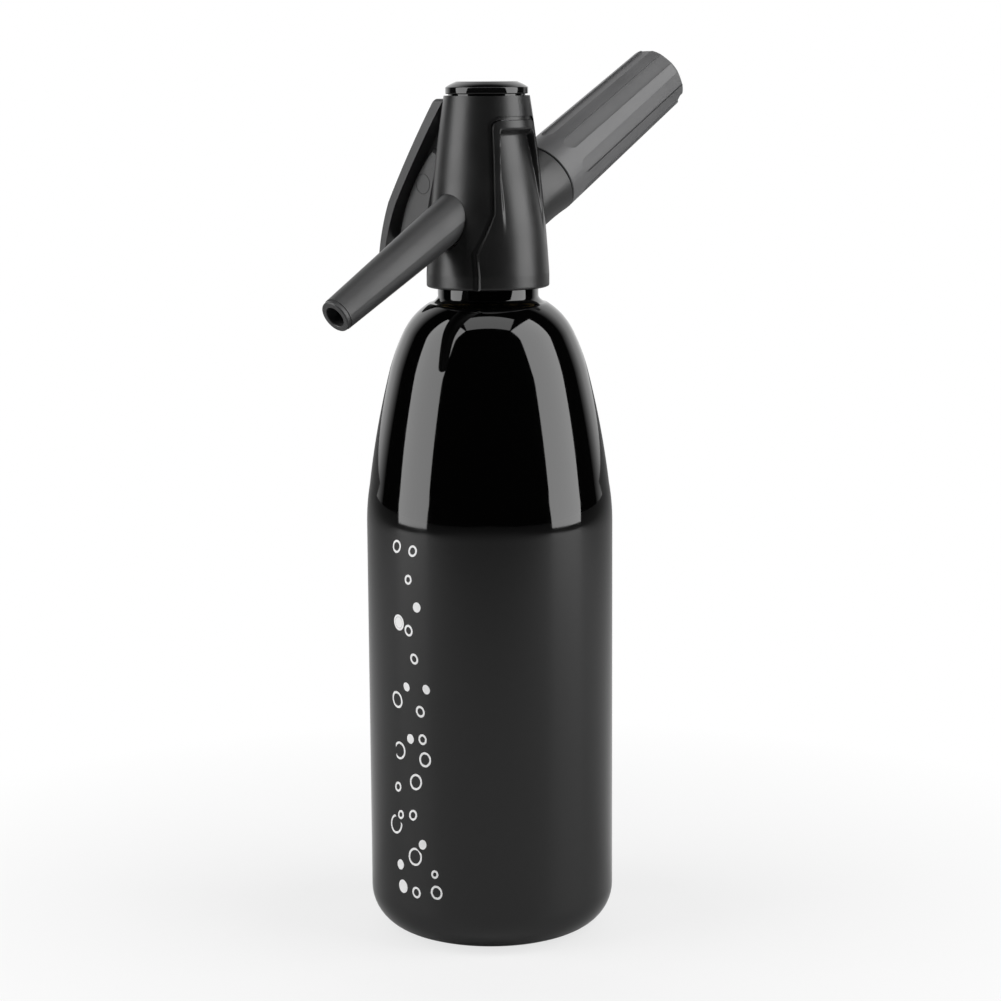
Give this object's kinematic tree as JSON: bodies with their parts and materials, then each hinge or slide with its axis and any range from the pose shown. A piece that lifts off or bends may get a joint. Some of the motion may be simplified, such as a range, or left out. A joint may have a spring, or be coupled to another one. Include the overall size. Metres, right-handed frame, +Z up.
{
  "type": "soda siphon",
  "caption": "Soda siphon: aluminium bottle, screw-on head with squeeze lever, sloping nozzle, thumb panel and fluted screw-on holder for a gas charger.",
  "frame": {"origin": "centre of the bottle's foot, on the surface that it stands on", "axes": "+Z up along the bottle, -Y towards the nozzle, +Y towards the charger holder, -X towards the lever, +X towards the thumb panel"},
  "size_m": [0.095, 0.1743, 0.3217],
  "materials": {
    "bottle_paint": "gloss black paint",
    "casing_plastic": "satin black moulded plastic",
    "cap_gloss": "polished black",
    "lever_plastic": "matte charcoal moulded plastic",
    "holder_plastic": "matte dark grey moulded plastic",
    "rubber": "moulded rubber",
    "tube_plastic": "translucent white tube",
    "brass": "turned brass",
    "steel": "turned steel",
    "cast_metal": "die cast"
  },
  "bodies": {
    "bottle": {"bottle": "bottle_paint"},
    "gasket": {"neck_gasket": "rubber"},
    "dip_tube": {"dip_tube": "tube_plastic", "tube_ring": "rubber"},
    "head": {"neck_collar": "brass", "head_casing": "casing_plastic", "thumb_panel": "casing_plastic", "top_cap": "cap_gloss", "casing_screw": "steel", "valve_block": "cast_metal", "charger_socket": "casing_plastic", "stem_gland": "brass", "stem_seal": "rubber", "chamber_plug": "brass", "valve_spring": "steel", "lever_pin": "steel", "nozzle_tube": "lever_plastic", "spout_insert": "lever_plastic", "nozzle_seal": "rubber", "charger_stud": "brass", "piercing_pin": "steel", "charger_seal": "rubber", "gas_filter": "steel"},
    "lever": {"lever": "lever_plastic", "cross_pin": "lever_plastic"},
    "valve_stem": {"valve_stem": "steel", "valve_washer": "rubber"},
    "charger": {"gas_charger": "steel"},
    "cushion": {"holder_cushion": "rubber"},
    "holder": {"charger_holder": "holder_plastic"}
  },
  "joints": [
    {"name": "head_lift", "type": "slide", "parent": "bottle", "child": "gasket", "axis": [0, 0, 1], "range_m": [0, 0.245]},
    {"name": "head_rise", "type": "slide", "parent": "gasket", "child": "dip_tube", "axis": [0, 0, 1], "range_m": [0, 0.0105]},
    {"name": "head_turn", "type": "hinge", "parent": "dip_tube", "child": "head", "pos_m": [0, 0, 0.26], "axis": [0, 0, 1], "range_deg": [0, 1081]},
    {"name": "lever_pull", "type": "hinge", "parent": "head", "child": "lever", "pos_m": [-0.011, 0, 0.298], "axis": [0, -1, 0], "range_deg": [0, 8], "stiffness_Nm_per_rad": 2, "springref_deg": -5.73},
    {"name": "valve_push", "type": "slide", "parent": "head", "child": "valve_stem", "axis": [1, 0, 0], "range_m": [0, 0.0034], "deforming": ["valve_spring"]},
    {"name": "charger_withdraw", "type": "slide", "parent": "head", "child": "charger", "axis": [0, 0.866, 0.5], "range_m": [0, 0.075]},
    {"name": "holder_travel", "type": "slide", "parent": "charger", "child": "cushion", "axis": [0, 0.866, 0.5], "range_m": [0, 0.009]},
    {"name": "holder_turn", "type": "hinge", "parent": "cushion", "child": "holder", "pos_m": [0, 0.05196, 0.2887], "axis": [0, 0.866, 0.5], "range_deg": [0, 1802]}
  ],
  "couplings": [
    {"joint": "head_turn", "follows": "head_rise", "rad_per_m": 1795.2},
    {"joint": "valve_push", "follows": "lever_pull", "m_per_rad": 0.023635},
    {"joint": "holder_turn", "follows": "holder_travel", "rad_per_m": 3490.7}
  ]
}
